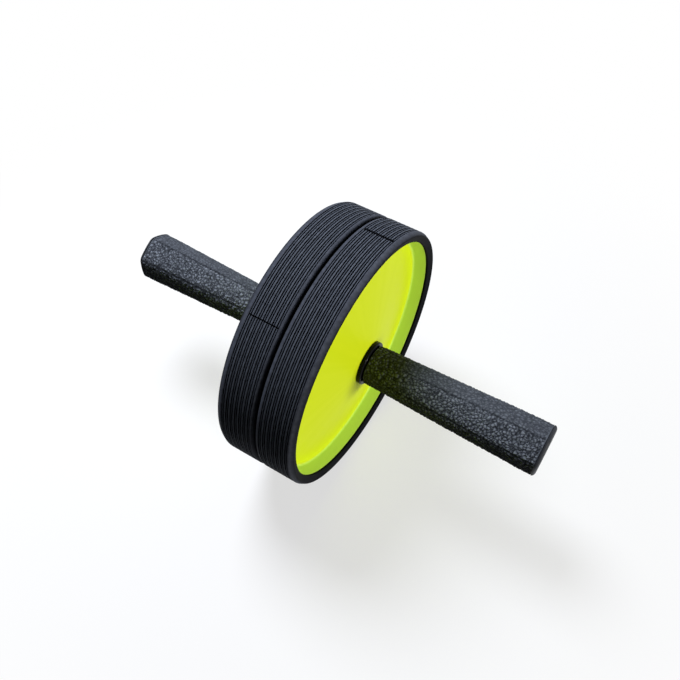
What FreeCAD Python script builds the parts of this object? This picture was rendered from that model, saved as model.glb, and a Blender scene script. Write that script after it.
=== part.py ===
import FreeCAD, Part
import Sketcher
import math
import os
import re

# An ab wheel roller: two tyred wheels that turn on one axle, with a handle at each end of the axle.
# The axle lies along Y, its middle is the origin and Z is up. Lengths are millimetres, angles degrees.

# Driving sizes, one cell of the sheet each.
sizes = {
    # wheel and tyre
    "wheel_diameter": 180,
    "tyre_width": 27.25,
    "wheel_gap": 1.0,  # between the two tyres
    "tyre_wall": 4.5,  # from the tread face to the rim
    "outer_bead": 3.2,  # tyre lip over the outer end of the rim
    "inner_bead": 2.0,
    "shoulder_land": 0.8,  # plain tyre between the strip and the sloping shoulder
    "shoulder_drop": 1.76,  # how far the shoulder slopes down to the outer edge
    "face_lean": 1.82,  # how far the outer face falls back from the edge to the lip
    "shoulder_bend_round": 3.0,
    "outer_edge_round": 1.2,
    "inner_shoulder_round": 2.5,
    "bead_round": 0.8,
    # ribbed tread strip, laid in a channel of the tyre
    "inner_band": 2.62,  # plain tyre between the inner face and the strip
    "strip_thickness": 2.6,
    "rib_height": 1.2,
    "rib_width": 1.35,
    "rib_draft": 0.2,
    "groove_width": 1.77,
    "low_rib_height": 1.0,  # the lower rib in the middle of each groove
    "low_rib_width": 0.75,
    "low_rib_draft": 0.06,
    "splice_gap": 1.3,
    # dished wheel disc
    "rim_wall": 2.2,
    "rim_taper": 2.2,  # how much narrower the dish is at the web
    "dish_depth": 9.7,
    "dish_round": 5.0,
    "web_wall": 3.0,
    "web_rib_wall": 2.2,
    "web_rib_setback": 3.5,
    "boss_diameter": 30.6,
    "web_rise": 11.8,  # how far the web comes out from the dish to the boss
    "boss_recess_depth": 1.5,  # recess in the boss that takes the bush flange and the thrust washer
    "boss_recess_clearance": 0.5,
    "hub_setback": 1.5,
    "hub_relief": 1.0,
    # flanged bushes
    "bush_diameter": 16,
    "bush_length": 8,
    "bush_flange_diameter": 22,
    "bush_flange": 1.0,
    # axle, spacer and thrust washers
    "axle_diameter": 12,
    "axle_chamfer": 0.8,
    "spacer_diameter": 24,
    "thrust_washer": 0.8,
    "thrust_washer_diameter": 24,
    # handle core with its collar
    "collar_diameter": 30.2,
    "collar_width": 2.85,
    "collar_round": 0.9,
    "core_diameter": 19,
    "core_end_wall": 4,
    "pocket_depth": 9.5,
    "pocket_diameter": 16.4,
    # grip
    "grip_gap": 0.6,  # shadow line between collar and grip
    "grip_length": 117.9,
    "grip_straight": 7,  # end stretch that no longer widens
    "grip_start_diameter": 26.6,
    "grip_end_diameter": 34.0,
    "grip_flat_depth": 1.7,  # how far a flat cuts in from the end diameter
    "flat_relief": 0.15,  # how far the planes of the flats clear the round start
    "grip_round": 0.8,
    # end cap
    "cap_seam": 0.3,
    "cap_seam_depth": 0.6,
    "cap_head": 2.3,
    "cap_round": 1.5,
    "cap_plug": 3.0,
    # end screw and its washer
    "screw_diameter": 6,
    "screw_length": 18,
    "screw_head_diameter": 11,
    "screw_head": 3.6,
    "screw_head_round": 1.2,
    "screw_washer_diameter": 15,
    "screw_washer": 1.5,
    "recess_length": 6,
    "recess_width": 1.3,
    "recess_depth": 2,
    # fits
    "running_clearance": 0.05,
    "fit_clearance": 0.05,
    "end_play": 0.1,
    "overrun": 2,
    # clock angles about the axle, from +X towards +Z
    "grip_clock_right": 50,
    "grip_clock_left": 62,
    "splice_clock_right": 108.5,
    "splice_clock_left": 55.5,
}

tread_rib_count = 6
web_rib_count = 12
grip_flat_count = 6
recess_arm_count = 2
round_limit_share = 0.95  # the most of a wall that its rounding may take
corner_share = math.cos(math.pi / grip_flat_count)  # how far out a flat is, as a share of its corner

# Places and sizes that follow from the driving sizes. A wheel and a handle are described on the +Y side.
derived = {
    "wheel_radius": "wheel_diameter / 2",
    "tyre_inner_face": "wheel_gap / 2",
    "tyre_outer_face": "tyre_inner_face + tyre_width",
    "rim_seat": "wheel_radius - tyre_wall",
    "bead_radius": "rim_seat - rim_wall",
    "inner_bead_end": "tyre_inner_face + inner_bead",
    "outer_bead_start": "tyre_outer_face - outer_bead",
    "channel_floor": "wheel_radius - strip_thickness",
    "channel_start": "tyre_inner_face + inner_band",
    "strip_start": "channel_start + fit_clearance",
    "strip_width": f"{tread_rib_count} * rib_width + {tread_rib_count + 1} * groove_width",
    "strip_end": "strip_start + strip_width",
    "channel_end": "strip_end + fit_clearance",
    "groove_floor": "wheel_radius - rib_height",
    "low_rib_margin": "(groove_width - low_rib_width) / 2",
    "low_rib_top": "groove_floor + low_rib_height",
    "shoulder_start": "channel_end + shoulder_land",
    "shoulder_edge": "wheel_radius - shoulder_drop",
    "face_lip": "tyre_outer_face - face_lean",
    "rim_radius": "rim_seat - fit_clearance",
    "rim_back_radius": "rim_radius - rim_wall",
    "rim_inner_end": "inner_bead_end + fit_clearance",
    "rim_outer_end": "outer_bead_start - fit_clearance",
    "wall_foot": "bead_radius - rim_taper",
    "web_face": "rim_outer_end - dish_depth",
    "web_back": "web_face - web_wall",
    "web_rib_edge": "tyre_inner_face + web_rib_setback",
    "boss_radius": "boss_diameter / 2",
    "boss_rim": "web_face + web_rise",
    "boss_face": "boss_rim - boss_recess_depth",
    "boss_recess": "thrust_washer_diameter / 2 + boss_recess_clearance",
    "hub_face": "tyre_inner_face + hub_setback",
    "axle_radius": "axle_diameter / 2",
    "sleeve_bore": "axle_radius + fit_clearance",
    "hub_bore": "axle_radius + hub_relief",
    "bush_seat": "bush_diameter / 2 + fit_clearance",
    "bush_bore": "axle_radius + running_clearance",
    "spacer_end": "hub_face - bush_flange - end_play",
    "collar_start": "boss_face + bush_flange + end_play + thrust_washer",
    "collar_end": "collar_start + collar_width",
    "grip_start": "collar_end + grip_gap",
    "grip_end": "grip_start + grip_length",
    "grip_full": "grip_end - grip_straight",
    "grip_flat_end": "grip_end_diameter / 2 - grip_flat_depth",
    "grip_bore": "core_diameter / 2 + fit_clearance",
    "core_end": "grip_end - end_play",
    "pocket_floor": "core_end - pocket_depth",
    "pocket_radius": "pocket_diameter / 2",
    "axle_end": "pocket_floor - core_end_wall",
    "screw_hole": "screw_diameter / 2 + fit_clearance",
    "screw_seat": "pocket_floor + screw_washer",
    "screw_tip": "screw_seat - screw_length",
    "screw_top": "screw_seat + screw_head",
    "cap_head_start": "grip_end + cap_seam",
    "cap_face": "cap_head_start + cap_head",
    "cap_corner_wall": f"(grip_flat_end - {corner_share} * grip_end_diameter / 2) / (1 - {corner_share})",
}

doc = FreeCAD.newDocument("ab_wheel_roller")
sheet = doc.addObject("Spreadsheet::Sheet", "Sizes")
for row, (word, number) in enumerate(sizes.items(), start=1):
    sheet.set(f"A{row}", word)
    sheet.set(f"B{row}", str(number))
    sheet.setAlias(f"B{row}", word)
doc.recompute()


def bound(text):
    # Writes a formula of size names as one of sheet cells.
    def cell(match):
        word = match.group(0)
        if word in derived:
            return "(" + bound(derived[word]) + ")"
        return "Sizes." + word if word in sizes else word

    return re.sub("[a-z_]+", cell, text)


def value(text):
    return float(sheet.evalExpression(bound(text)))


def make_body(label):
    body = doc.addObject("PartDesign::Body", label)
    body.Label = label
    return body


def origin_feature(body, role):
    return next(item for item in body.Origin.OriginFeatures if item.Role == role)


def add_outline(body, name, points):
    # A closed outline in the XY plane, with X out from the axle and Y along it.
    outline = body.newObject("Sketcher::SketchObject", body.Name + "_" + name)
    outline.AttachmentSupport = [(origin_feature(body, "XY_Plane"), "")]
    outline.MapMode = "FlatFace"
    corners = [FreeCAD.Vector(value(out), value(along), 0) for out, along in points]
    for index, corner in enumerate(corners):
        outline.addGeometry(Part.LineSegment(corner, corners[(index + 1) % len(corners)]))
    for index in range(len(corners)):
        outline.addConstraint(Sketcher.Constraint("Coincident", index, 2, (index + 1) % len(corners), 1))
    for index, (point, corner) in enumerate(zip(points, corners)):
        for kind, axis, text, place in zip(("DistanceX", "DistanceY"), (-2, -1), point, corner):
            if text == "0":
                outline.addConstraint(Sketcher.Constraint("PointOnObject", index, 1, axis))
            else:
                number = outline.addConstraint(Sketcher.Constraint(kind, -1, 1, index, 1, place))
                outline.setExpression(f"Constraints[{number}]", bound(text))
    return outline


def turn(body, points, angle="360"):
    # Revolves an outline about the axle line.
    outline = add_outline(body, "profile", points)
    ring = body.newObject("PartDesign::Revolution", body.Name + "_ring")
    ring.Profile = outline
    ring.ReferenceAxis = (outline, ["V_Axis"])
    ring.setExpression("Angle", bound(angle))
    doc.recompute()


def cut_around(body, name, points, width, count, span="360"):
    # Cuts an outline as a slot of the given width, repeated about the axle line.
    before = body.Shape.Volume
    outline = add_outline(body, name + "_profile", points)
    slot = body.newObject("PartDesign::Pocket", body.Name + "_" + name)
    slot.Profile = outline
    slot.SideType = "Symmetric"
    slot.setExpression("Length", bound(width))
    repeat_around(body, slot, count, span)
    if body.Shape.Volume >= before:
        raise RuntimeError(body.Label + ": " + name + " cuts nothing")


def repeat_around(body, feature, count, span="360"):
    pattern = body.newObject("PartDesign::PolarPattern", feature.Name + "_pattern")
    pattern.Originals = [feature]
    pattern.Axis = (origin_feature(body, "Y_Axis"), [""])
    pattern.setExpression("Angle", bound(span))
    pattern.Occurrences = count
    body.Tip = pattern
    doc.recompute()


def round_rings(body, name, rings, radius):
    # Rounds the circular edges that have the given radius and place along the axle.
    names = []
    for out, along in rings:
        for index, edge in enumerate(body.Shape.Edges, start=1):
            if not isinstance(edge.Curve, Part.Circle):
                continue
            same_radius = abs(edge.Curve.Radius - value(out)) < Part.Precision.confusion()
            same_place = abs(edge.Curve.Center.y - value(along)) < Part.Precision.confusion()
            if same_radius and same_place:
                names.append(f"Edge{index}")
    round_edges(body, name, names, radius)


def round_edges(body, name, names, radius):
    base = body.Tip
    rounding = body.newObject("PartDesign::Fillet", body.Name + "_" + name)
    rounding.Base = (base, names)
    rounding.setExpression("Radius", bound(radius))
    body.Tip = rounding
    doc.recompute()


def stand_at(body, side, clock=0):
    # Pieces are drawn for the right, +Y, end; the left end carries the same pieces turned end for end.
    upright = FreeCAD.Vector(0, 0, 1)
    along = FreeCAD.Vector(0, 1, 0)
    if side == "right":
        spin = FreeCAD.Rotation(along, -clock)
    else:
        spin = FreeCAD.Rotation(upright, 180) * FreeCAD.Rotation(along, clock - 180)
    body.Placement = FreeCAD.Placement(FreeCAD.Vector(0, 0, 0), spin)


def make_ring(label, inner, outer, start, end):
    body = make_body(label)
    turn(body, [(inner, start), (outer, start), (outer, end), (inner, end)])
    return body


def make_axle():
    # A plain rod with a chamfer and a screw hole at each end.
    body = make_body("axle")
    turn(body, [
        ("0", "screw_tip - screw_hole"),
        ("screw_hole", "screw_tip - fit_clearance"),
        ("screw_hole", "axle_end"),
        ("axle_radius - axle_chamfer", "axle_end"),
        ("axle_radius", "axle_end - axle_chamfer"),
        ("axle_radius", "axle_chamfer - axle_end"),
        ("axle_radius - axle_chamfer", "0 - axle_end"),
        ("screw_hole", "0 - axle_end"),
        ("screw_hole", "fit_clearance - screw_tip"),
        ("0", "screw_hole - screw_tip"),
    ])
    return body


def make_disc(label):
    # A dished disc: a rim, a web that comes out to the hub as a flat cone, a boss with two bush seats,
    # and ribs on the hidden back.
    body = make_body(label)
    turn(body, [
        ("bush_seat", "hub_face"),
        ("boss_radius", "hub_face"),
        ("boss_radius", "web_back + web_rise"),
        ("rim_back_radius", "web_back"),
        ("rim_back_radius", "rim_inner_end"),
        ("rim_radius", "rim_inner_end"),
        ("rim_radius", "rim_outer_end"),
        ("bead_radius", "rim_outer_end"),
        ("wall_foot", "web_face"),
        ("boss_radius", "boss_rim"),
        ("boss_recess", "boss_rim"),
        ("boss_recess", "boss_face"),
        ("bush_seat", "boss_face"),
        ("bush_seat", "boss_face - bush_length"),
        ("hub_bore", "boss_face - bush_length"),
        ("hub_bore", "hub_face + bush_length"),
        ("bush_seat", "hub_face + bush_length"),
    ])
    round_rings(body, "dish_round", [("wall_foot", "web_face")], "dish_round")
    rib_outline = add_outline(body, "rib_profile", [
        ("boss_radius - web_rib_wall", "web_rib_edge"),
        ("rim_back_radius + rim_wall / 2", "web_rib_edge"),
        ("rim_back_radius + rim_wall / 2", "web_back + web_wall / 2"),
        ("boss_radius - web_rib_wall", "web_back + web_rise + web_wall / 2"),
    ])
    rib = body.newObject("PartDesign::Pad", body.Name + "_rib")
    rib.Profile = rib_outline
    rib.SideType = "Symmetric"
    rib.setExpression("Length", bound("web_rib_wall"))
    repeat_around(body, rib, web_rib_count)
    return body


def make_tyre(label):
    # A ring that grips the rim with a bead at each side, and carries a channel for the tread strip.
    body = make_body(label)
    turn(body, [
        ("bead_radius", "tyre_inner_face"),
        ("wheel_radius", "tyre_inner_face"),
        ("wheel_radius", "channel_start"),
        ("channel_floor", "channel_start"),
        ("channel_floor", "channel_end"),
        ("wheel_radius", "channel_end"),
        ("wheel_radius", "shoulder_start"),
        ("shoulder_edge", "tyre_outer_face"),
        ("bead_radius", "face_lip"),
        ("bead_radius", "outer_bead_start"),
        ("rim_seat", "outer_bead_start"),
        ("rim_seat", "inner_bead_end"),
        ("bead_radius", "inner_bead_end"),
    ])
    bend_limit = "2 * shoulder_land * (tyre_outer_face - shoulder_start) / shoulder_drop"
    round_rings(body, "shoulder_bend", [("wheel_radius", "shoulder_start")],
                f"min(shoulder_bend_round; {round_limit_share} * {bend_limit})")
    round_rings(body, "outer_edge", [("shoulder_edge", "tyre_outer_face")], "outer_edge_round")
    round_rings(body, "inner_shoulder", [("wheel_radius", "tyre_inner_face")],
                f"min(inner_shoulder_round; {round_limit_share} * inner_band)")
    round_rings(body, "bead_edge", [("bead_radius", "face_lip")], "bead_round")
    return body


def make_tread_strip(label):
    # A flat band with raised ribs and a lower rib in each groove, bent round the tyre until its ends
    # almost meet.
    body = make_body(label)
    points = [("channel_floor + fit_clearance", "strip_start"), ("groove_floor", "strip_start")]
    for groove in range(tread_rib_count + 1):
        groove_start = f"strip_start + {groove} * (rib_width + groove_width)"
        low_rib_start = groove_start + " + low_rib_margin"
        points += [
            ("groove_floor", low_rib_start),
            ("low_rib_top", low_rib_start + " + low_rib_draft"),
            ("low_rib_top", low_rib_start + " + low_rib_width - low_rib_draft"),
            ("groove_floor", low_rib_start + " + low_rib_width"),
        ]
        if groove < tread_rib_count:
            rib_start = groove_start + " + groove_width"
            points += [
                ("groove_floor", rib_start),
                ("wheel_radius", rib_start + " + rib_draft"),
                ("wheel_radius", rib_start + " + rib_width - rib_draft"),
                ("groove_floor", rib_start + " + rib_width"),
            ]
    points += [("groove_floor", "strip_end"), ("channel_floor + fit_clearance", "strip_end")]
    turn(body, points, "360 - splice_gap / wheel_radius * 180 / pi")
    return body


def make_bush(label, seat, outward):
    # A flanged bush, pressed into one end of a hub with its flange outside; outward is + or -.
    body = make_body(label)
    inward = "-" if outward == "+" else "+"
    turn(body, [
        ("bush_bore", f"{seat} {inward} bush_length"),
        ("bush_diameter / 2", f"{seat} {inward} bush_length"),
        ("bush_diameter / 2", seat),
        ("bush_flange_diameter / 2", seat),
        ("bush_flange_diameter / 2", f"{seat} {outward} bush_flange"),
        ("bush_bore", f"{seat} {outward} bush_flange"),
    ])
    return body


def make_handle_core(label):
    # A stiff sleeve with a collar by the wheel, and an end wall that the axle butts against.
    body = make_body(label)
    turn(body, [
        ("sleeve_bore", "collar_start"),
        ("collar_diameter / 2", "collar_start"),
        ("collar_diameter / 2", "collar_end"),
        ("core_diameter / 2", "collar_end"),
        ("core_diameter / 2", "core_end"),
        ("pocket_radius", "core_end"),
        ("pocket_radius", "pocket_floor"),
        ("screw_hole", "pocket_floor"),
        ("screw_hole", "axle_end"),
        ("sleeve_bore", "axle_end"),
    ])
    rims = [("collar_diameter / 2", "collar_start"), ("collar_diameter / 2", "collar_end")]
    round_rings(body, "collar_round", rims, "collar_round")
    return body


def make_grip(label):
    # Round at the collar; flats grow along its length until the end is a hexagon.
    body = make_body(label)
    turn(body, [
        ("grip_bore", "grip_start"),
        ("grip_start_diameter / 2", "grip_start"),
        ("grip_end_diameter / 2", "grip_full"),
        ("grip_end_diameter / 2", "grip_end"),
        ("grip_bore", "grip_end"),
    ])
    cut_around(body, "flat", [
        ("grip_start_diameter / 2 + flat_relief", "grip_start"),
        ("grip_flat_end", "grip_full"),
        ("grip_flat_end", "grip_end + overrun"),
        ("grip_end_diameter / 2 + overrun", "grip_end + overrun"),
        ("grip_end_diameter / 2 + overrun", "grip_start"),
    ], "grip_end_diameter", grip_flat_count)
    round_rings(body, "start_round", [("grip_start_diameter / 2", "grip_start")], "grip_round")
    return body


def make_end_cap(label):
    # A plug with a hexagonal head that carries on the shape of the grip past a narrow seam.
    body = make_body(label)
    turn(body, [
        ("0", "core_end - cap_plug"),
        ("pocket_radius - fit_clearance", "core_end - cap_plug"),
        ("pocket_radius - fit_clearance", "grip_end"),
        ("grip_flat_end - cap_seam_depth", "grip_end"),
        ("grip_flat_end - cap_seam_depth", "cap_head_start"),
        ("grip_end_diameter / 2", "cap_head_start"),
        ("grip_end_diameter / 2", "cap_face"),
        ("0", "cap_face"),
    ])
    cut_around(body, "flat", [
        ("grip_flat_end", "cap_head_start - cap_seam / 2"),
        ("grip_flat_end", "cap_face + overrun"),
        ("grip_end_diameter / 2 + overrun", "cap_face + overrun"),
        ("grip_end_diameter / 2 + overrun", "cap_head_start - cap_seam / 2"),
    ], "grip_end_diameter", grip_flat_count)
    face = max(body.Shape.Faces, key=lambda item: item.CenterOfMass.y)
    names = [f"Edge{index}" for index, edge in enumerate(body.Shape.Edges, start=1)
             if any(edge.isSame(rim) for rim in face.Edges)]
    round_edges(body, "edge_round", names, f"min(cap_round; {round_limit_share} * cap_corner_wall)")
    return body


def make_end_screw(label):
    # A pan-head screw with a cross recess.
    body = make_body(label)
    turn(body, [
        ("0", "screw_tip"),
        ("screw_diameter / 2", "screw_tip"),
        ("screw_diameter / 2", "screw_seat"),
        ("screw_head_diameter / 2", "screw_seat"),
        ("screw_head_diameter / 2", "screw_top"),
        ("0", "screw_top"),
    ])
    round_rings(body, "head_round", [("screw_head_diameter / 2", "screw_top")], "screw_head_round")
    cut_around(body, "recess", [
        ("0 - recess_length / 2", "screw_top - recess_depth"),
        ("recess_length / 2", "screw_top - recess_depth"),
        ("recess_length / 2", "screw_top + overrun"),
        ("0 - recess_length / 2", "screw_top + overrun"),
    ], "recess_width", recess_arm_count, "180 / " + str(recess_arm_count))
    return body


pieces = [
    make_axle(),
    make_ring("centre_spacer", "sleeve_bore", "spacer_diameter / 2", "0 - spacer_end", "spacer_end"),
]
for side in ("left", "right"):
    splice_clock = value("splice_clock_" + side)
    grip_clock = value("grip_clock_" + side)
    sided = [
        (make_disc("wheel_disc_" + side), 0),
        (make_tyre("tyre_" + side), 0),
        (make_tread_strip("tread_strip_" + side), splice_clock),
        (make_bush("bush_inner_" + side, "hub_face", "-"), 0),
        (make_bush("bush_outer_" + side, "boss_face", "+"), 0),
        (make_ring("thrust_washer_" + side, "sleeve_bore", "thrust_washer_diameter / 2",
                   "collar_start - thrust_washer", "collar_start"), 0),
        (make_handle_core("handle_core_" + side), 0),
        (make_grip("grip_" + side), grip_clock),
        (make_end_cap("end_cap_" + side), grip_clock),
        (make_ring("screw_washer_" + side, "screw_hole", "screw_washer_diameter / 2",
                   "pocket_floor", "screw_seat"), 0),
        (make_end_screw("end_screw_" + side), grip_clock),
    ]
    for body, clock in sided:
        stand_at(body, side, clock)
        pieces.append(body)
doc.recompute()

for item in doc.Objects:
    if "Invalid" in item.State or "Error" in item.State:
        raise RuntimeError(item.Label + " failed: " + ", ".join(item.State))
for body in pieces:
    if body.Shape.isNull() or not body.Shape.isValid() or len(body.Shape.Solids) != 1:
        raise RuntimeError(body.Label + " isn't one valid solid")

os.makedirs("parts", exist_ok=True)
for body in pieces:
    body.Shape.exportStep(f"parts/{body.Label}.step")
    print(body.Label, round(body.Shape.Volume), "mm3")
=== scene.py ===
import math

import bmesh
import bpy
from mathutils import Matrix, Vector, noise


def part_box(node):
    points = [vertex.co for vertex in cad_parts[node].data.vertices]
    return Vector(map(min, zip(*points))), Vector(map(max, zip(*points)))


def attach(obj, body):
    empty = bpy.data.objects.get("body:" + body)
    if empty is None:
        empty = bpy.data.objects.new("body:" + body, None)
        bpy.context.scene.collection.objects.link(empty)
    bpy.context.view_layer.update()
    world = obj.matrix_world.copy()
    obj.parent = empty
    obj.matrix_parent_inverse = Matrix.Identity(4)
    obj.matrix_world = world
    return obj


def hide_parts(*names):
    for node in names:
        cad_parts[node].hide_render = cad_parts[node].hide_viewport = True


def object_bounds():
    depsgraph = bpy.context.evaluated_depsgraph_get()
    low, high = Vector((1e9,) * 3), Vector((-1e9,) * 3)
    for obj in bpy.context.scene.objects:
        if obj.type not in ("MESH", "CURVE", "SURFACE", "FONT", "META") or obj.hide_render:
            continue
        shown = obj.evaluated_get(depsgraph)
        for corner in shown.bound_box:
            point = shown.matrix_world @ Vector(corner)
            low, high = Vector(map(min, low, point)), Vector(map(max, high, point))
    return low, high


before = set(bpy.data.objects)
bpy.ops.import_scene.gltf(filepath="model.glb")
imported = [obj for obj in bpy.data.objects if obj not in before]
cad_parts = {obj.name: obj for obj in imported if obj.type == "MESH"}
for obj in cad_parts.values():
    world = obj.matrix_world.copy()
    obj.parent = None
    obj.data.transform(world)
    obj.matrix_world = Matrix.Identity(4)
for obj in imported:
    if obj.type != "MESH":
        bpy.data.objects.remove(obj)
cadLow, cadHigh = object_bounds()  # the CAD model's own box
mm = 0.001  # lengths are written in millimetres and turned to metres where a mesh, lamp or shader takes them
fullTurn = 360
sides = {"right": 1, "left": -1}  # which way along the axle each end points
noise.seed_set(7)  # the grain comes out the same in every run
print("frame loaded:", len(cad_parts), "nodes")


def boxMm(node):
    low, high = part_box(node)
    return low / mm, high / mm


def toLinear(hexColour):
    channels = [int(hexColour[start:start + 2], 16) / 255 for start in (1, 3, 5)]
    linear = [c / 12.92 if c <= 0.04045 else ((c + 0.055) / 1.055) ** 2.4 for c in channels]
    return (*linear, 1)


def perMm(size):
    return 1 / (size * mm)  # texture scale that gives features of this size, in object coordinates


# A node with its settings; an input is either a value or the socket that feeds it
def addNode(tree, kind, inputs=None, **settings):
    made = tree.nodes.new(kind)
    for word, setting in settings.items():
        setattr(made, word, setting)
    for socket, source in (inputs or {}).items():
        if isinstance(source, bpy.types.NodeSocket):
            tree.links.new(source, made.inputs[socket])
        else:
            made.inputs[socket].default_value = source
    return made


def newMaterial(name):
    material = bpy.data.materials.new(name)
    material.use_nodes = True
    material.node_tree.nodes.clear()
    spot = addNode(material.node_tree, "ShaderNodeTexCoord").outputs["Object"]
    return material, material.node_tree, spot


def finishMaterial(tree, inputs):
    shader = addNode(tree, "ShaderNodeBsdfPrincipled", inputs)
    addNode(tree, "ShaderNodeOutputMaterial", {"Surface": shader.outputs["BSDF"]})


# Moulded polypropylene disc: a clean, even lime with a soft gloss, and faint streaks where the melt ran out from the
# hub;
# the steep wall of the dish is painted greener and paler, a painted bounce light from the lime it faces. The skin is
# finer in life and drawn coarser so that it shows
limeLook = {"colour": "#CFDE1A", "streakColour": "#C7D912", "wallBounceColour": "#CEF464", "wallStart": 80.1,
            "wallFull": 81.4, "streak": 7, "streakRadius": 50, "skin": 0.9, "roughness": (0.44, 0.52),
            "ior": 1.45, "level": 0.12, "bump": 0.1, "bumpDepth": 0.02}


def limePolypropylene():
    material, tree, spot = newMaterial("limePolypropyleneMoulded")
    flat = addNode(tree, "ShaderNodeVectorMath", {0: spot, 1: (1, 0, 1)}, operation="MULTIPLY")
    spoke = addNode(tree, "ShaderNodeVectorMath", {0: flat.outputs["Vector"]}, operation="NORMALIZE")
    streaks = addNode(tree, "ShaderNodeTexNoise", {
        "Vector": spoke.outputs["Vector"], "Scale": limeLook["streakRadius"] / limeLook["streak"], "Detail": 3})
    web = addNode(tree, "ShaderNodeMix", {
        0: streaks.outputs["Fac"], 6: toLinear(limeLook["colour"]), 7: toLinear(limeLook["streakColour"])},
        data_type="RGBA")
    radius = addNode(tree, "ShaderNodeVectorMath", {0: flat.outputs["Vector"]}, operation="LENGTH")
    # painted light: from this radius out the wall takes a greener, paler colour for the bounce light it would catch
    wall = addNode(tree, "ShaderNodeMapRange", {
        "Value": radius.outputs["Value"], "From Min": limeLook["wallStart"] * mm,
        "From Max": limeLook["wallFull"] * mm}, interpolation_type="SMOOTHSTEP")
    colour = addNode(tree, "ShaderNodeMix", {
        0: wall.outputs["Result"], 6: web.outputs[2], 7: toLinear(limeLook["wallBounceColour"])}, data_type="RGBA")
    low, high = limeLook["roughness"]
    gloss = addNode(tree, "ShaderNodeMapRange", {"Value": streaks.outputs["Fac"], "To Min": low, "To Max": high})
    skin = addNode(tree, "ShaderNodeTexNoise", {"Vector": spot, "Scale": perMm(limeLook["skin"])})
    bump = addNode(tree, "ShaderNodeBump", {
        "Strength": limeLook["bump"], "Distance": limeLook["bumpDepth"] * mm, "Height": skin.outputs["Fac"]})
    finishMaterial(tree, {
        "Base Color": colour.outputs[2], "Roughness": gloss.outputs["Result"], "IOR": limeLook["ior"],
        "Specular IOR Level": limeLook["level"], "Normal": bump.outputs["Normal"]})
    return material


# Tyre rubber: the moulded tyre is near black, with the scuff fading out down its shoulders and sides as painted shade
# where they turn from the light; the extruded tread strip is dark in its grooves, and both are scuffed to a dull
# charcoal where they roll. There is hardly any gloss, so the pale floor doesn't grey the dark side. Real pits are about
# 0.1 mm and are drawn coarser so that they show
rubberSkin = {"bloomSize": 9, "scuffSize": 2.4, "scuffEdges": (0.3, 0.7), "leastScuff": 0.6, "pit": 0.7,
              "roughness": (0.48, 0.6), "ior": 1.52, "level": 0.012, "bump": 0.35, "bumpDepth": 0.08}
tyreLook = {**rubberSkin, "name": "tyreRubberMoulded", "colour": "#0B0C0E", "bloom": "#121317", "scuff": "#4F535D",
            "unscuffedAndShadedDepth": 2.3, "scuffDepth": 0}
treadLook = {**rubberSkin, "name": "treadRubberExtruded", "colour": "#22242A", "bloom": "#2A2D33", "scuff": "#575C66",
             "unscuffedAndShadedDepth": 0.8, "scuffDepth": 0.05}


def scuffedRubber(look, wheelRadius):
    material, tree, spot = newMaterial(look["name"])
    bloom = addNode(tree, "ShaderNodeTexNoise", {"Vector": spot, "Scale": perMm(look["bloomSize"]), "Detail": 4})
    base = addNode(tree, "ShaderNodeMix", {
        0: bloom.outputs["Fac"], 6: toLinear(look["colour"]), 7: toLinear(look["bloom"])}, data_type="RGBA")
    flat = addNode(tree, "ShaderNodeVectorMath", {0: spot, 1: (1, 0, 1)}, operation="MULTIPLY")
    radius = addNode(tree, "ShaderNodeVectorMath", {0: flat.outputs["Vector"]}, operation="LENGTH")
    # below the rolling face the colour falls to the dark base: the tread strip's unscuffed grooves, and painted shade
    # down the tyre's shoulders and sides
    rollingScuffAndShade = addNode(tree, "ShaderNodeMapRange", {
        "Value": radius.outputs["Value"], "From Min": (wheelRadius - look["unscuffedAndShadedDepth"]) * mm,
        "From Max": (wheelRadius - look["scuffDepth"]) * mm}, interpolation_type="SMOOTHSTEP")
    scuff = addNode(tree, "ShaderNodeTexNoise", {"Vector": spot, "Scale": perMm(look["scuffSize"]), "Detail": 5})
    scuffStart, scuffEnd = look["scuffEdges"]
    patchy = addNode(tree, "ShaderNodeMapRange", {
        "Value": scuff.outputs["Fac"], "From Min": scuffStart, "From Max": scuffEnd, "To Min": look["leastScuff"]})
    scuffAndShadeMix = addNode(tree, "ShaderNodeMath", {
        0: rollingScuffAndShade.outputs["Result"], 1: patchy.outputs["Result"]}, operation="MULTIPLY")
    colour = addNode(tree, "ShaderNodeMix", {
        0: scuffAndShadeMix.outputs["Value"], 6: base.outputs[2], 7: toLinear(look["scuff"])}, data_type="RGBA")
    low, high = look["roughness"]
    gloss = addNode(tree, "ShaderNodeMapRange", {"Value": scuff.outputs["Fac"], "To Min": low, "To Max": high})
    pits = addNode(tree, "ShaderNodeTexNoise", {"Vector": spot, "Scale": perMm(look["pit"]), "Detail": 3})
    bump = addNode(tree, "ShaderNodeBump", {
        "Strength": look["bump"], "Distance": look["bumpDepth"] * mm, "Height": pits.outputs["Fac"]})
    finishMaterial(tree, {
        "Base Color": colour.outputs[2], "Roughness": gloss.outputs["Result"], "IOR": look["ior"],
        "Specular IOR Level": look["level"], "Normal": bump.outputs["Normal"]})
    return material


# Leather-grained rubber: near black in the creases, greyer on the raised grain, with hardly any gloss; the contrast is
# the grain's own tone strengthened by painted shade in the creases and a painted highlight on the crests. Real pores
# are about 0.1 mm and are drawn coarser so that they show
gripLook = {"crease": "#1F2126", "crest": "#868C97", "pore": 0.5, "roughness": (0.62, 0.46), "ior": 1.52,
            "level": 0.012, "bump": 0.4, "bumpDepth": 0.06}


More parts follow.
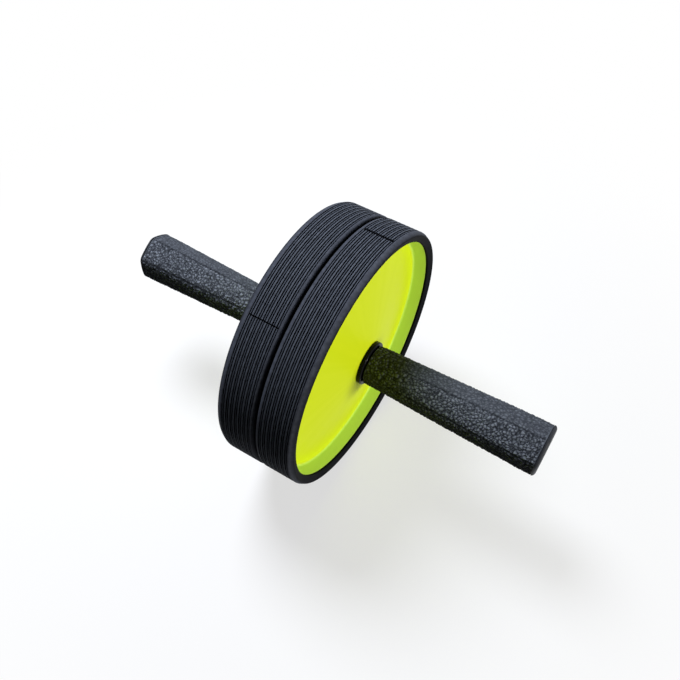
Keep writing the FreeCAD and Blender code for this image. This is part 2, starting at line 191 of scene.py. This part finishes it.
def grainedGripRubber():
    material, tree, spot = newMaterial("gripRubberLeatherGrained")
    grain = addNode(tree, "ShaderNodeAttribute", attribute_name="grain").outputs["Fac"]
    # the grain attribute also carries painted shade on the underside, beside the collar, along the edges and at both
    # ends
    colour = addNode(tree, "ShaderNodeMix", {
        0: grain, 6: toLinear(gripLook["crease"]), 7: toLinear(gripLook["crest"])}, data_type="RGBA")
    dull, polished = gripLook["roughness"]
    gloss = addNode(tree, "ShaderNodeMapRange", {"Value": grain, "To Min": dull, "To Max": polished})
    pores = addNode(tree, "ShaderNodeTexNoise", {"Vector": spot, "Scale": perMm(gripLook["pore"]), "Detail": 3})
    bump = addNode(tree, "ShaderNodeBump", {
        "Strength": gripLook["bump"], "Distance": gripLook["bumpDepth"] * mm, "Height": pores.outputs["Fac"]})
    finishMaterial(tree, {
        "Base Color": colour.outputs[2], "Roughness": gloss.outputs["Result"], "IOR": gripLook["ior"],
        "Specular IOR Level": gripLook["level"], "Normal": bump.outputs["Normal"]})
    return material


# Moulded ABS: black, with a clear gloss on the collars, and worn to a dull charcoal on the caps; nylon: milky and half
# matt. The haze of the skin is drawn coarser than in life
plasticSkin = {"ior": 1.54, "bumpDepth": 0.05}
collarLook = {**plasticSkin, "name": "blackAbsPolished", "colour": "#08080A", "haze": "#101012", "hazeSize": 5,
              "skin": 0.8, "roughness": (0.16, 0.26), "level": 0.06, "bump": 0.05}
capLook = {**plasticSkin, "name": "blackAbsSatin", "colour": "#292B30", "haze": "#32353A", "hazeSize": 4, "skin": 0.6,
           "roughness": (0.4, 0.52), "level": 0.06, "bump": 0.1}
nylonLook = {**plasticSkin, "name": "nylonNatural", "colour": "#D9D5C6", "haze": "#CFCAB8", "hazeSize": 5, "skin": 0.6,
             "roughness": (0.42, 0.5), "level": 0.5, "bump": 0.1}


def mouldedPlastic(look):
    material, tree, spot = newMaterial(look["name"])
    haze = addNode(tree, "ShaderNodeTexNoise", {"Vector": spot, "Scale": perMm(look["hazeSize"]), "Detail": 4})
    colour = addNode(tree, "ShaderNodeMix", {
        0: haze.outputs["Fac"], 6: toLinear(look["colour"]), 7: toLinear(look["haze"])}, data_type="RGBA")
    low, high = look["roughness"]
    gloss = addNode(tree, "ShaderNodeMapRange", {"Value": haze.outputs["Fac"], "To Min": low, "To Max": high})
    skin = addNode(tree, "ShaderNodeTexNoise", {"Vector": spot, "Scale": perMm(look["skin"]), "Detail": 2})
    bump = addNode(tree, "ShaderNodeBump", {
        "Strength": look["bump"], "Distance": look["bumpDepth"] * mm, "Height": skin.outputs["Fac"]})
    finishMaterial(tree, {
        "Base Color": colour.outputs[2], "Roughness": gloss.outputs["Result"], "IOR": look["ior"],
        "Specular IOR Level": look["level"], "Normal": bump.outputs["Normal"]})
    return material


# Steel: the drawn rod has fine lines along it, the zinc plate a cloudy grey bloom
steelSkin = {"bump": 0.1, "bumpDepth": 0.02}
rodLook = {**steelSkin, "name": "brightDrawnSteel", "colour": "#B4B6B9", "cloud": "#A3A5A8", "grain": (0.6, 30, 0.6),
           "roughness": (0.22, 0.36)}
zincLook = {**steelSkin, "name": "zincPlatedSteel", "colour": "#C3C5C8", "cloud": "#AEB1B8", "grain": (2, 2, 2),
            "roughness": (0.3, 0.46)}


def steel(look):
    material, tree, spot = newMaterial(look["name"])
    stretched = addNode(tree, "ShaderNodeVectorMath", {
        0: spot, 1: tuple(perMm(size) for size in look["grain"])}, operation="MULTIPLY")
    grain = addNode(tree, "ShaderNodeTexNoise", {"Vector": stretched.outputs["Vector"], "Scale": 1, "Detail": 4})
    colour = addNode(tree, "ShaderNodeMix", {
        0: grain.outputs["Fac"], 6: toLinear(look["colour"]), 7: toLinear(look["cloud"])}, data_type="RGBA")
    low, high = look["roughness"]
    gloss = addNode(tree, "ShaderNodeMapRange", {"Value": grain.outputs["Fac"], "To Min": low, "To Max": high})
    bump = addNode(tree, "ShaderNodeBump", {
        "Strength": look["bump"], "Distance": look["bumpDepth"] * mm, "Height": grain.outputs["Fac"]})
    finishMaterial(tree, {
        "Base Color": colour.outputs[2], "Metallic": 1, "Roughness": gloss.outputs["Result"],
        "Normal": bump.outputs["Normal"]})
    return material


# Corners are (radius, along, rounding); each rounding becomes an arc between its two straight runs
def roundCorners(corners, steps=6):
    points = []
    for index, (radius, along, rounding) in enumerate(corners):
        here = Vector((radius, along))
        if rounding == 0:
            points.append(here)
            continue
        before = (Vector(corners[index - 1][:2]) - here).normalized()
        after = (Vector(corners[(index + 1) % len(corners)][:2]) - here).normalized()
        half = before.angle(after) / 2
        centre = here + (before + after).normalized() * rounding / math.sin(half)
        spoke = here + before * rounding / math.tan(half) - centre
        turn = math.pi - 2 * half
        if before.x * after.y - before.y * after.x > 0:
            turn = -turn
        for step in range(steps + 1):
            angle = turn * step / steps
            swung = Vector((spoke.x * math.cos(angle) - spoke.y * math.sin(angle),
                            spoke.x * math.sin(angle) + spoke.y * math.cos(angle)))
            points.append(centre + swung)
    return points


# Copies of a profile around the axle; clock angles run from +X towards +Z
def latheRows(profile, side, steps, clock=0, sweep=fullTurn):
    count = steps if sweep == fullTurn else steps + 1
    rows = []
    for row in range(count):
        angle = math.radians(clock + sweep * row / steps)
        rows.append([Vector((p.x * math.cos(angle), side * p.y, p.x * math.sin(angle))) for p in profile])
    return rows


sharpAngle = 38  # degrees; steeper edges are shaded as corners


# Each grid is rows of closed loops with equal counts, and whether its last row joins its first or both ends are filled
def gridObject(name, grids):
    points, faces = [], []
    for rows, joinEnds in grids:
        start = len(points)
        count = len(rows[0])
        points += [point * mm for row in rows for point in row]
        for row in range(len(rows) if joinEnds else len(rows) - 1):
            here = start + row * count
            there = start + (row + 1) % len(rows) * count
            for column in range(count):
                following = (column + 1) % count
                faces.append((here + column, here + following, there + following, there + column))
        if not joinEnds:
            faces.append(tuple(range(start, start + count)))
            faces.append(tuple(range(len(points) - count, len(points))))
    mesh = bpy.data.meshes.new(name)
    mesh.from_pydata(points, [], faces)
    shell = bmesh.new()
    shell.from_mesh(mesh)
    bmesh.ops.recalc_face_normals(shell, faces=shell.faces)
    shell.to_mesh(mesh)
    shell.free()
    mesh.shade_smooth()
    mesh.set_sharp_from_angle(angle=math.radians(sharpAngle))
    piece = bpy.data.objects.new(name, mesh)
    bpy.context.scene.collection.objects.link(piece)
    return piece


def dress(piece, body, material, node):
    piece.data.materials.append(material)
    piece.modifiers.new("evenShading", "WEIGHTED_NORMAL").keep_sharp = True
    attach(piece, body)
    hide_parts(node)


tyreLow, tyreHigh = boxMm("tyre_right")
stripLow, stripHigh = boxMm("tread_strip_right")
discLow, discHigh = boxMm("wheel_disc_right")
coreLow, coreHigh = boxMm("handle_core_right")
gripLow, gripHigh = boxMm("grip_right")
capLow, capHigh = boxMm("end_cap_right")
wheelRadius = tyreHigh.z
rimRadius = discHigh.z
collarRadius = coreHigh.z

wheelSteps = 288  # copies of a profile around a wheel

# Six main ribs with a lower one in each groove; the strip's two ends leave a narrow joint
tread = {"ribs": 6, "ribWidth": 1.35, "ribHeight": 1.2, "draft": 0.2, "thickness": 2.55, "crestRound": 0.2,
         "footRound": 0.12, "lowRibWidth": 0.75, "lowRibHeight": 1.0, "lowRibDraft": 0.06, "lowRibRound": 0.12,
         "spliceGap": {"right": 2.4, "left": 0.9}, "spliceClock": {"right": 108.5, "left": 55.5}, "arcSteps": 3}


def makeTread(name, side):
    floor = wheelRadius - tread["ribHeight"]
    back = wheelRadius - tread["thickness"]
    groove = (stripHigh.y - stripLow.y - tread["ribs"] * tread["ribWidth"]) / (tread["ribs"] + 1)

    def ribCorners(foot, width, height, draft, rounding):
        return [(floor, foot, tread["footRound"]), (floor + height, foot + draft, rounding),
                (floor + height, foot + width - draft, rounding), (floor, foot + width, tread["footRound"])]

    corners = [(back, stripLow.y, 0), (floor, stripLow.y, 0)]
    for rib in range(tread["ribs"] + 1):
        grooveStart = stripLow.y + rib * (groove + tread["ribWidth"])
        margin = (groove - tread["lowRibWidth"]) / 2
        corners += ribCorners(grooveStart + margin, tread["lowRibWidth"], tread["lowRibHeight"], tread["lowRibDraft"],
                              tread["lowRibRound"])
        if rib < tread["ribs"]:
            corners += ribCorners(grooveStart + groove, tread["ribWidth"], tread["ribHeight"], tread["draft"],
                                  tread["crestRound"])
    corners += [(floor, stripHigh.y, 0), (back, stripHigh.y, 0)]
    gap = math.degrees(tread["spliceGap"][name] / wheelRadius)
    clock = tread["spliceClock"][name]
    start = clock + gap if side > 0 else clock
    rows = latheRows(roundCorners(corners, tread["arcSteps"]), side, wheelSteps, start, fullTurn - gap)
    return gridObject("tread_" + name, [(rows, False)])


# The shoulder slopes down from a narrow land to a tight edge, and the outer face leans back from there
tyre = {"width": 27.25, "wall": 4.5, "outerBead": 3.2, "innerBead": 2.0, "beadDepth": 2.2, "land": 0.8, "drop": 1.76,
        "lean": 1.82, "bendRound": 2.7, "edgeRound": 1.2, "innerRound": 2.48, "beadRound": 0.8, "innerEdge": 0.4,
        "channelRound": 0.08, "fit": 0.05}


def makeTyre(name, side):
    seat = wheelRadius - tyre["wall"]
    bead = seat - tyre["beadDepth"]
    channel = wheelRadius - tread["thickness"] - tyre["fit"]
    channelStart = stripLow.y - tyre["fit"]
    channelEnd = stripHigh.y + tyre["fit"]
    outerFace = tyreLow.y + tyre["width"]
    corners = [
        (bead, tyreLow.y, tyre["innerEdge"]),
        (wheelRadius, tyreLow.y, tyre["innerRound"]),
        (wheelRadius, channelStart, tyre["channelRound"]),
        (channel, channelStart, 0),
        (channel, channelEnd, 0),
        (wheelRadius, channelEnd, tyre["channelRound"]),
        (wheelRadius, channelEnd + tyre["land"], tyre["bendRound"]),
        (wheelRadius - tyre["drop"], outerFace, tyre["edgeRound"]),
        (bead, outerFace - tyre["lean"], tyre["beadRound"]),
        (bead, outerFace - tyre["outerBead"], 0),
        (seat, outerFace - tyre["outerBead"], 0),
        (seat, tyreLow.y + tyre["innerBead"], 0),
        (bead, tyreLow.y + tyre["innerBead"], 0),
    ]
    return gridObject("tyre_" + name + "_moulded", [(latheRows(roundCorners(corners), side, wheelSteps), True)])


# A dish with a conical web and a recessed boss, stiffened by ribs behind the web
disc = {"rimWall": 2.2, "rimTaper": 2.15, "rimStart": 2.55, "lipEdge": 0.5, "dishDepth": 9.7, "dishRound": 2.4,
        "webWall": 3, "webRise": 11.8, "bossRadius": 15.3, "bossEdge": 0.8, "recessRadius": 12.5, "recessDepth": 1.5,
        "recessEdge": 0.2, "bushSeat": 8.05, "bushLength": 8, "bore": 7, "ribs": 12, "ribWall": 2.2, "ribStart": 4,
        "ribRound": 0.6, "arcSteps": 8, "ribArcSteps": 4}


def makeDisc(name, side):
    rimEnd = tyreLow.y + tyre["width"] - tyre["outerBead"] - tyre["fit"]
    webFace = rimEnd - disc["dishDepth"]
    webBack = webFace - disc["webWall"]
    bossRim = webFace + disc["webRise"]
    bossFace = bossRim - disc["recessDepth"]
    rimBack = rimRadius - disc["rimWall"]
    boss = disc["bossRadius"]
    corners = [
        (disc["bushSeat"], discLow.y, 0),
        (boss, discLow.y, 0),
        (boss, webBack + disc["webRise"], 0),
        (rimBack, webBack, 0),
        (rimBack, disc["rimStart"], 0),
        (rimRadius, disc["rimStart"], 0),
        (rimRadius, rimEnd, 0),
        (rimBack, rimEnd, disc["lipEdge"]),
        (rimBack - disc["rimTaper"], webFace, disc["dishRound"]),
        (boss, bossRim, disc["bossEdge"]),
        (disc["recessRadius"], bossRim, disc["recessEdge"]),
        (disc["recessRadius"], bossFace, 0),
        (disc["bushSeat"], bossFace, 0),
        (disc["bushSeat"], bossFace - disc["bushLength"], 0),
        (disc["bore"], bossFace - disc["bushLength"], 0),
        (disc["bore"], discLow.y + disc["bushLength"], 0),
        (disc["bushSeat"], discLow.y + disc["bushLength"], 0),
    ]
    grids = [(latheRows(roundCorners(corners, disc["arcSteps"]), side, wheelSteps), True)]
    half = disc["ribWall"] / 2
    ends = [(boss - half, webBack + disc["webRise"] + half), (rimBack + half, webBack + half)]
    for rib in range(disc["ribs"]):
        angle = 2 * math.pi * rib / disc["ribs"]
        out = Vector((math.cos(angle), 0, math.sin(angle)))
        across = Vector((-math.sin(angle), 0, math.cos(angle)))
        rows = []
        for radius, top in ends:
            outline = roundCorners([(-half, top, 0), (half, top, 0), (half, disc["ribStart"], disc["ribRound"]),
                                    (-half, disc["ribStart"], disc["ribRound"])], disc["ribArcSteps"])
            rows.append([out * radius + across * p.x + Vector((0, side * p.y, 0)) for p in outline])
        grids.append((rows, False))
    return gridObject("disc_" + name, grids)


# A glossy collar and, inside the grip, the tube that the axle is screwed into
core = {"collarWidth": 2.85, "collarRound": 0.9, "radius": 9.5, "rootRound": 0.5, "bore": 6.05, "pocket": 8.2,
        "pocketDepth": 9.5, "endWall": 4, "screwHole": 3.05, "steps": 128, "arcSteps": 8}


def makeCore(name, side):
    collarEnd = coreLow.y + core["collarWidth"]
    pocketFloor = coreHigh.y - core["pocketDepth"]
    axleEnd = pocketFloor - core["endWall"]
    corners = [
        (core["bore"], coreLow.y, 0),
        (collarRadius, coreLow.y, core["collarRound"]),
        (collarRadius, collarEnd, core["collarRound"]),
        (core["radius"], collarEnd, core["rootRound"]),
        (core["radius"], coreHigh.y, 0),
        (core["pocket"], coreHigh.y, 0),
        (core["pocket"], pocketFloor, 0),
        (core["screwHole"], pocketFloor, 0),
        (core["screwHole"], axleEnd, 0),
        (core["bore"], axleEnd, 0),
    ]
    profile = roundCorners(corners, core["arcSteps"])
    return gridObject("core_" + name, [(latheRows(profile, side, core["steps"]), True)])


# The grip is a cone that six slightly crowned flats cut deeper and deeper, with a raised leather grain
grip = {"startRadius": 13.3, "endRadius": 17.0, "startFlat": 13.45, "endFlat": 15.3, "straight": 7, "flats": 6,
        "crease": 0.35, "startRound": 0.8, "endRound": 0.15, "bore": 9.55, "clock": {"right": 50, "left": 62},
        "step": 0.36, "pebble": 2, "creaseShare": 0.75, "dome": 0.3, "warp": 0.8, "warpSize": 1.5, "depth": 0.62,
        "proud": 0.2, "border": 0.8, "edgeWidth": 1.2, "edgeGrainAndShade": 0.15, "edgeStart": 40,
        "collarShadeStrength": 0.35, "collarShadeLength": 40, "palmGrain": 0.4, "palmHeight": 0.2, "palmSoft": 7,
        "crown": 45, "undersideShadeClock": 80, "undersideShadeFrom": -0.2, "undersideShadeFull": 0.5, "undersideShadeTone": 0.3, "endShadeTone": 0.2}


def gripRadius(name, angle, along):
    full = gripHigh.y - grip["straight"]
    share = min(1, max(0, (along - gripLow.y) / (full - gripLow.y)))
    cone = grip["startRadius"] + share * (grip["endRadius"] - grip["startRadius"])
    flat = grip["startFlat"] + share * (grip["endFlat"] - grip["startFlat"])
    between = fullTurn / grip["flats"]
    off = (math.degrees(angle) - grip["clock"][name] + between / 2) % between - between / 2
    facet = flat / math.cos(math.radians(off))
    aside = flat * math.tan(math.radians(off))
    facet += max(0, cone ** 2 - flat ** 2 - aside ** 2) / (2 * grip["crown"])  # the flats bulge a little
    near = max(0, 1 - abs(cone - facet) / grip["crease"])
    return min(cone, facet) - near * near * grip["crease"] / 4  # eased over where flat and cone meet


# Leather pebbles: bent cells with a domed top and a crease where two of them meet
def grainHeight(point):
    shifted = point + grip["warp"] * noise.noise_vector(point / grip["warpSize"])
    near, far = noise.voronoi(shifted / grip["pebble"])[0][:2]
    rise = min(1, (far - near) / grip["creaseShare"])
    return rise * (2 - rise) * max(0, 1 - grip["dome"] * near)


# The six edges between the flats are rubbed smooth and drawn dark as a painted shade line, once they stand out from the
# cone
def edgeWearAndShade(name, angle, along):
    between = fullTurn / grip["flats"]
    off = (math.degrees(angle) - grip["clock"][name]) % between - between / 2
    distance = abs(math.radians(off)) * gripRadius(name, angle, along)
    near = max(0, 1 - distance / grip["edgeWidth"])
    started = min(1, (along - gripLow.y) / grip["edgeStart"])
    return 1 - near * started * (1 - grip["edgeGrainAndShade"])


# Palms press on the flat that looks up, and wear its grain down
def palmShare(name, angle, along):
    between = fullTurn / grip["flats"]
    off = (math.degrees(angle) - grip["clock"][name] - between + fullTurn / 2) % fullTurn - fullTurn / 2
    within = min(1, max(0, (between / 2 - abs(off)) / grip["palmSoft"]))
    return within * min(1, (along - gripLow.y) / grip["edgeStart"])


# Painted shade: the grain's tone falls towards the underside, which stays nearer to black, by which way each point
# faces
def undersideShade(angle):
    facing = math.cos(angle - math.radians(grip["undersideShadeClock"]))
    share = min(1, max(0, (facing - grip["undersideShadeFrom"]) / (grip["undersideShadeFull"] - grip["undersideShadeFrom"])))
    return grip["undersideShadeTone"] + (1 - grip["undersideShadeTone"]) * share


# How far a rounded edge falls back at a distance from it
def edgeDrop(distance, radius):
    return radius - math.sqrt(radius ** 2 - max(0, radius - distance) ** 2)


def makeGrip(name, side):
    length = gripHigh.y - gripLow.y
    rowCount = round(length / grip["step"])
    columnCount = round(2 * math.pi * (grip["startRadius"] + grip["endRadius"]) / 2 / grip["step"])
    angles = [2 * math.pi * column / columnCount for column in range(columnCount)]
    rows, grainAndShade = [], []
    for row in range(rowCount + 1):
        along = gripLow.y + length * row / rowCount
        fromStart, fromEnd = along - gripLow.y, gripHigh.y - along
        rounding = edgeDrop(fromStart, grip["startRound"]) + edgeDrop(fromEnd, grip["endRound"])
        fade = min(1, min(fromStart, fromEnd) / grip["border"])
        collarShade = 1 - grip["collarShadeStrength"] * max(0, 1 - fromStart / grip["collarShadeLength"])  # painted shade beside the collar, fading out along the grip
        loop = []
        for angle in angles:
            outline = gripRadius(name, angle, along) - rounding
            point = Vector((outline * math.cos(angle), side * along, outline * math.sin(angle)))
            raised = grainHeight(point)
            palm = palmShare(name, angle, along) * (1 - grip["palmGrain"])
            raised += palm * (grip["palmHeight"] - raised)
            height = 1 - fade * (1 - raised * edgeWearAndShade(name, angle, along))
            out = outline + fade * grip["proud"] - grip["depth"] * (1 - height)
            loop.append(Vector((out * math.cos(angle), side * along, out * math.sin(angle))))
            # painted shade: the grain's tone drops within the border at both ends, where the grip meets the collar and
            # the cap
            endShade = grip["endShadeTone"] + fade * (1 - grip["endShadeTone"])
            grainAndShade.append(height * collarShade * endShade * undersideShade(angle))
        rows.append(loop)
    for along in (gripHigh.y, gripLow.y):
        rows.append([Vector((grip["bore"] * math.cos(a), side * along, grip["bore"] * math.sin(a))) for a in angles])
        grainAndShade += [0] * columnCount
    piece = gridObject("grip_" + name + "_grained", [(rows, True)])
    # the grain attribute holds the grain's height times the painted shade beside the collar, at the ends and on the
    # underside
    piece.data.attributes.new("grain", "FLOAT", "POINT").data.foreach_set("value", grainAndShade)
    return piece


# A plug, a shadow line that follows the grip's outline, and a head with a rounded end
cap = {"seamDepth": 0.6, "head": 2.3, "round": 2.1, "inset": 3.2, "backRound": 0.12, "plug": 8.15, "arcSteps": 8,
       "turnStep": 2}


def makeCap(name, side):
    headStart = capHigh.y - cap["head"]
    angles = [math.radians(angle) for angle in range(0, fullTurn, cap["turnStep"])]
    rings = [(cap["plug"], None, capLow.y), (cap["plug"], None, gripHigh.y),
             (None, cap["seamDepth"], gripHigh.y), (None, cap["seamDepth"], headStart)]
    swings = [math.pi / 2 * step / cap["arcSteps"] for step in range(cap["arcSteps"] + 1)]
    for swing in swings:
        inset = cap["backRound"] * (1 - math.sin(swing))
        rings.append((None, inset, headStart + cap["backRound"] * (1 - math.cos(swing))))
    for swing in swings:
        inset = cap["inset"] * (1 - math.cos(swing))
        rings.append((None, inset, capHigh.y - cap["round"] * (1 - math.sin(swing))))
    rows = []
    for radius, inset, along in rings:
        loop = []
        for angle in angles:
            out = radius if radius else gripRadius(name, angle, gripHigh.y) - inset
            loop.append(Vector((out * math.cos(angle), side * along, out * math.sin(angle))))
        rows.append(loop)
    return gridObject("cap_" + name, [(rows, False)])


lime = limePolypropylene()
tyreRubber = scuffedRubber(tyreLook, wheelRadius)
treadRubber = scuffedRubber(treadLook, wheelRadius)
grained = grainedGripRubber()
polished = mouldedPlastic(collarLook)
satin = mouldedPlastic(capLook)
nylon = mouldedPlastic(nylonLook)
rod = steel(rodLook)
zinc = steel(zincLook)
print("materials made")

for name, side in sides.items():
    wheel = name + "_wheel"
    dress(makeTread(name, side), wheel, treadRubber, "tread_strip_" + name)
    dress(makeTyre(name, side), wheel, tyreRubber, "tyre_" + name)
    dress(makeDisc(name, side), wheel, lime, "wheel_disc_" + name)
    dress(makeCore(name, side), "handlebar", polished, "handle_core_" + name)
    dress(makeGrip(name, side), "handlebar", grained, "grip_" + name)
    dress(makeCap(name, side), "handlebar", satin, "end_cap_" + name)
    print(name, "wheel and handle made")

innerFinishes = {"axle": rod, "centre_spacer": nylon, "bush": nylon, "thrust_washer": zinc, "screw_washer": zinc,
                 "end_screw": zinc}
for node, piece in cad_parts.items():
    for word, material in innerFinishes.items():
        if node.startswith(word):
            piece.data.materials.clear()
            piece.data.materials.append(material)
print("inner pieces finished")

# Studio: a pale floor under the wheels, which diffuse rays see as dark, so that the undersides stay deep; a soft box
# high at the left end, and one low along the axle that fills the right dish
studio = {"floorSize": 12000, "floorWhite": "#F6F6F6", "floorBounce": "#282828", "whiteShare": 0.66,
          "shadowReach": 150, "whiteReach": 430, "ambient": 0.015}
softBoxes = [
    {"name": "keyBox", "azimuth": -24, "elevation": 60, "distance": 1100, "size": 540, "watts": 17.5,
     "colour": "#F2F6FF"},
    {"name": "rightBox", "azimuth": 180, "elevation": 4, "distance": 4000, "size": 640, "watts": 160,
     "colour": "#FFFCF6"},
]


def directionOf(azimuth, elevation):
    a, e = math.radians(azimuth), math.radians(elevation)
    return Vector((math.sin(a) * math.cos(e), -math.cos(a) * math.cos(e), math.sin(e)))


# 1 for the rays that see the background: straight from the camera, in a reflection, or through something clear
def seenWhite(tree):
    path = addNode(tree, "ShaderNodeLightPath")
    first = addNode(tree, "ShaderNodeMath", {
        0: path.outputs["Is Camera Ray"], 1: path.outputs["Is Glossy Ray"]}, operation="MAXIMUM")
    both = addNode(tree, "ShaderNodeMath", {
        0: first.outputs["Value"], 1: path.outputs["Is Transmission Ray"]}, operation="MAXIMUM")
    return both.outputs["Value"]


def makeFloor():
    half = studio["floorSize"] / 2 * mm
    level = cadLow.z
    mesh = bpy.data.meshes.new("floor")
    mesh.from_pydata([(-half, -half, level), (half, -half, level), (half, half, level), (-half, half, level)], [],
                     [(0, 1, 2, 3)])
    floor = bpy.data.objects.new("floor", mesh)
    bpy.context.scene.collection.objects.link(floor)
    material, tree, spot = newMaterial("floorPaperMatte")
    seen = seenWhite(tree)
    colour = addNode(tree, "ShaderNodeMix", {
        0: seen, 6: toLinear(studio["floorBounce"]), 7: toLinear(studio["floorWhite"])}, data_type="RGBA")
    paper = addNode(tree, "ShaderNodeBsdfDiffuse", {"Color": colour.outputs[2]})
    white = addNode(tree, "ShaderNodeEmission", {"Strength": 1})
    away = addNode(tree, "ShaderNodeVectorMath", {0: spot}, operation="LENGTH")
    paler = addNode(tree, "ShaderNodeMapRange", {
        "Value": away.outputs["Value"], "From Min": studio["shadowReach"] * mm, "From Max": studio["whiteReach"] * mm,
        "To Min": studio["whiteShare"]}, interpolation_type="SMOOTHSTEP")  # plain white beyond the shadow
    share = addNode(tree, "ShaderNodeMath", {0: seen, 1: paler.outputs["Result"]}, operation="MULTIPLY")
    mixed = addNode(tree, "ShaderNodeMixShader", {
        0: share.outputs["Value"], 1: paper.outputs["BSDF"], 2: white.outputs["Emission"]})
    addNode(tree, "ShaderNodeOutputMaterial", {"Surface": mixed.outputs["Shader"]})
    mesh.materials.append(material)


def lightStudio():
    for box in softBoxes:
        lamp = bpy.data.lights.new(box["name"], "AREA")
        lamp.shape = "DISK"
        lamp.size = box["size"] * mm
        lamp.energy = box["watts"]
        lamp.color = toLinear(box["colour"])[:3]
        holder = bpy.data.objects.new(box["name"], lamp)
        back = directionOf(box["azimuth"], box["elevation"])
        holder.location = back * box["distance"] * mm
        holder.rotation_euler = (-back).to_track_quat("-Z", "Y").to_euler()
        bpy.context.scene.collection.objects.link(holder)
    world = bpy.data.worlds.new("studio")
    world.use_nodes = True
    tree = world.node_tree
    tree.nodes.clear()
    strength = addNode(tree, "ShaderNodeMapRange", {"Value": seenWhite(tree), "To Min": studio["ambient"], "To Max": 1})
    air = addNode(tree, "ShaderNodeBackground", {"Color": (1, 1, 1, 1), "Strength": strength.outputs["Result"]})
    addNode(tree, "ShaderNodeOutputWorld", {"Surface": air.outputs["Background"]})
    bpy.context.scene.world = world


# The photograph's own view: the axle's middle stands at a pixel of the 680 px frame
view = {"azimuth": 121.76, "elevation": 54.64, "distance": 510.63, "focalPixels": 772.72, "imageSize": 680,
        "middleX": 332.8, "middleY": 344.25, "sensor": 36}


def makeCamera():
    lens = bpy.data.cameras.new("camera")
    lens.sensor_width = view["sensor"]
    lens.lens = view["sensor"] * view["focalPixels"] / view["imageSize"]
    lens.shift_x = 0.5 - view["middleX"] / view["imageSize"]
    lens.shift_y = view["middleY"] / view["imageSize"] - 0.5
    camera = bpy.data.objects.new("camera", lens)
    back = directionOf(view["azimuth"], view["elevation"])
    camera.location = back * view["distance"] * mm
    camera.rotation_euler = (-back).to_track_quat("-Z", "Y").to_euler()
    bpy.context.scene.collection.objects.link(camera)
    bpy.context.scene.camera = camera


makeFloor()
lightStudio()
makeCamera()
bpy.context.scene.view_settings.view_transform = "Standard"
print("studio and camera set")
